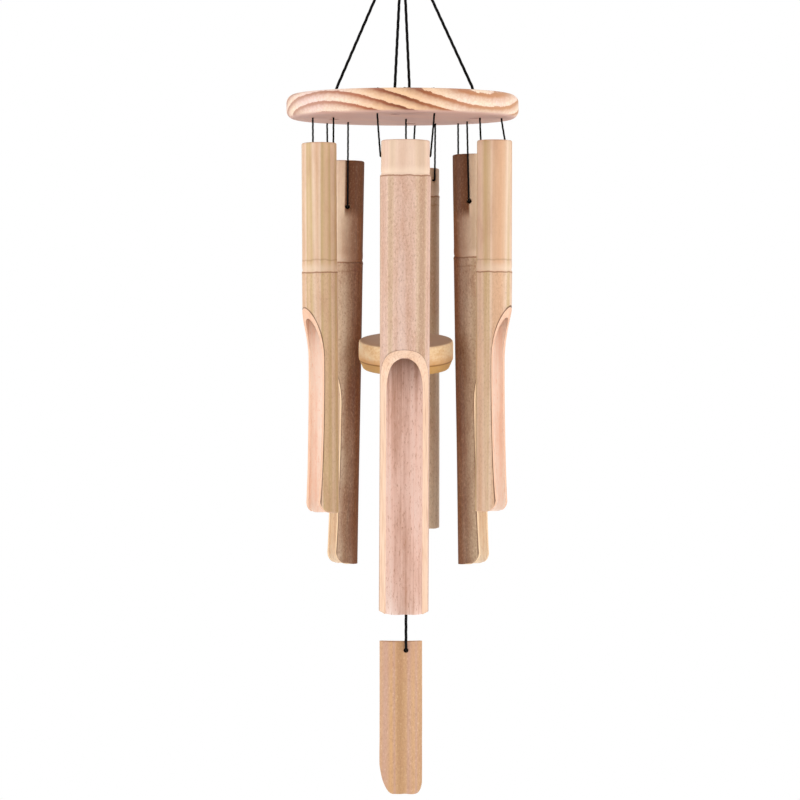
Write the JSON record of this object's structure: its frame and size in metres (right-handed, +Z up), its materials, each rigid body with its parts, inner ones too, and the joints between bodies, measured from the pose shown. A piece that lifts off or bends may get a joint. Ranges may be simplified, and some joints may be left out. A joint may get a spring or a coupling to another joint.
{
  "type": "wind chime",
  "caption": "Hanging bamboo wind chime: tubes cut with long scoops under a round pine platform, with a wooden clapper and a bamboo wind sail on black cords.",
  "frame": {"origin": "the point inside the hanging ring's top where a hook carries it", "axes": "+Z up, +X to the right and +Y away, as seen from the wide front tube; the chime hangs down along -Z"},
  "size_m": [0.16, 0.16, 0.6306],
  "materials": {
    "ring_steel": "polished wire",
    "black_cord": "braided polyester",
    "platform_pine": "sanded pine",
    "bamboo_pale": "satin bamboo",
    "bamboo_brown": "satin bamboo",
    "clapper_wood": "turned and sanded",
    "sail_bamboo": "satin bamboo"
  },
  "bodies": {
    "ring": {"hanging_ring": "ring_steel"},
    "loop": {"hanging_loop": "black_cord", "loop_knot": "black_cord"},
    "platform": {"platform_disc": "platform_pine", "suspension_cord_right": "black_cord", "suspension_cord_back": "black_cord", "suspension_cord_left": "black_cord", "suspension_cord_front": "black_cord", "suspension_knots": "black_cord", "clapper_anchor_knot": "black_cord", "front_cord_crossing": "black_cord", "front_left_cord_crossing": "black_cord", "front_right_cord_crossing": "black_cord", "rear_left_cord_crossing": "black_cord", "rear_right_cord_crossing": "black_cord", "rear_cord_crossing": "black_cord"},
    "front_chime": {"front_tube": "bamboo_pale", "front_cord_left": "black_cord", "front_cord_right": "black_cord", "front_cord_knots": "black_cord"},
    "front_left_chime": {"front_left_tube": "bamboo_pale", "front_left_cord_left": "black_cord", "front_left_cord_right": "black_cord", "front_left_cord_knots": "black_cord"},
    "front_right_chime": {"front_right_tube": "bamboo_pale", "front_right_cord_left": "black_cord", "front_right_cord_right": "black_cord", "front_right_cord_knots": "black_cord"},
    "rear_left_chime": {"rear_left_tube": "bamboo_brown", "rear_left_cord_left": "black_cord", "rear_left_cord_right": "black_cord", "rear_left_cord_knots": "black_cord"},
    "rear_right_chime": {"rear_right_tube": "bamboo_brown", "rear_right_cord_left": "black_cord", "rear_right_cord_right": "black_cord", "rear_right_cord_knots": "black_cord"},
    "rear_chime": {"rear_tube": "bamboo_brown", "rear_cord_left": "black_cord", "rear_cord_right": "black_cord", "rear_cord_knots": "black_cord"},
    "clapper_link": {"clapper_cord_link": "black_cord"},
    "clapper": {"clapper_cord": "black_cord", "clapper_knots": "black_cord", "clapper_disc": "clapper_wood"},
    "sail_line": {"sail_cord": "black_cord", "sail_knot": "black_cord"},
    "sail": {"wind_sail": "sail_bamboo"}
  },
  "joints": [
    {"name": "loop_swing", "type": "hinge", "parent": "ring", "child": "loop", "pos_m": [0, 0, -0.0205], "axis": [1, 0, 0], "range_deg": [-15, 15]},
    {"name": "platform_sway", "type": "hinge", "parent": "loop", "child": "platform", "pos_m": [0, 0, -0.043], "axis": [0, 1, 0], "range_deg": [-10, 10]},
    {"name": "front_swing", "type": "hinge", "parent": "platform", "child": "front_chime", "pos_m": [0.0022, -0.062, -0.1615], "axis": [1, 0, 0], "range_deg": [-14, 3]},
    {"name": "front_left_swing", "type": "hinge", "parent": "platform", "child": "front_left_chime", "pos_m": [-0.05445, -0.01525, -0.1615], "axis": [0.9681, -0.2505, 0], "range_deg": [-12, 7]},
    {"name": "front_right_swing", "type": "hinge", "parent": "platform", "child": "front_right_chime", "pos_m": [0.06045, -0.01065, -0.1615], "axis": [0.9728, 0.2316, 0], "range_deg": [-12, 7]},
    {"name": "rear_left_swing", "type": "hinge", "parent": "platform", "child": "rear_left_chime", "pos_m": [-0.04535, 0.04135, -0.1615], "axis": [0.746, -0.6659, 0], "range_deg": [-10, 10]},
    {"name": "rear_right_swing", "type": "hinge", "parent": "platform", "child": "rear_right_chime", "pos_m": [0.04195, 0.0395, -0.1615], "axis": [0.2445, -0.9697, 0], "range_deg": [-3, 12]},
    {"name": "rear_swing", "type": "hinge", "parent": "platform", "child": "rear_chime", "pos_m": [0.01595, 0.06155, -0.1615], "axis": [0.552, -0.8339, 0], "range_deg": [-3, 14]},
    {"name": "clapper_swing_fore_aft", "type": "hinge", "parent": "platform", "child": "clapper_link", "pos_m": [0.0024, 0, -0.1615], "axis": [1, 0, 0], "range_deg": [-3, 4]},
    {"name": "clapper_swing_sideways", "type": "hinge", "parent": "clapper_link", "child": "clapper", "pos_m": [0.0024, 0, -0.1765], "axis": [0, 1, 0], "range_deg": [-4, 4]},
    {"name": "sail_cord_swing", "type": "hinge", "parent": "clapper", "child": "sail_line", "pos_m": [0.0024, 0, -0.3432], "axis": [1, 0, 0], "range_deg": [-10, 10]},
    {"name": "sail_swing", "type": "hinge", "parent": "sail_line", "child": "sail", "pos_m": [0.0024, 0, -0.5281], "axis": [0, 1, 0], "range_deg": [-20, 20]}
  ]
}
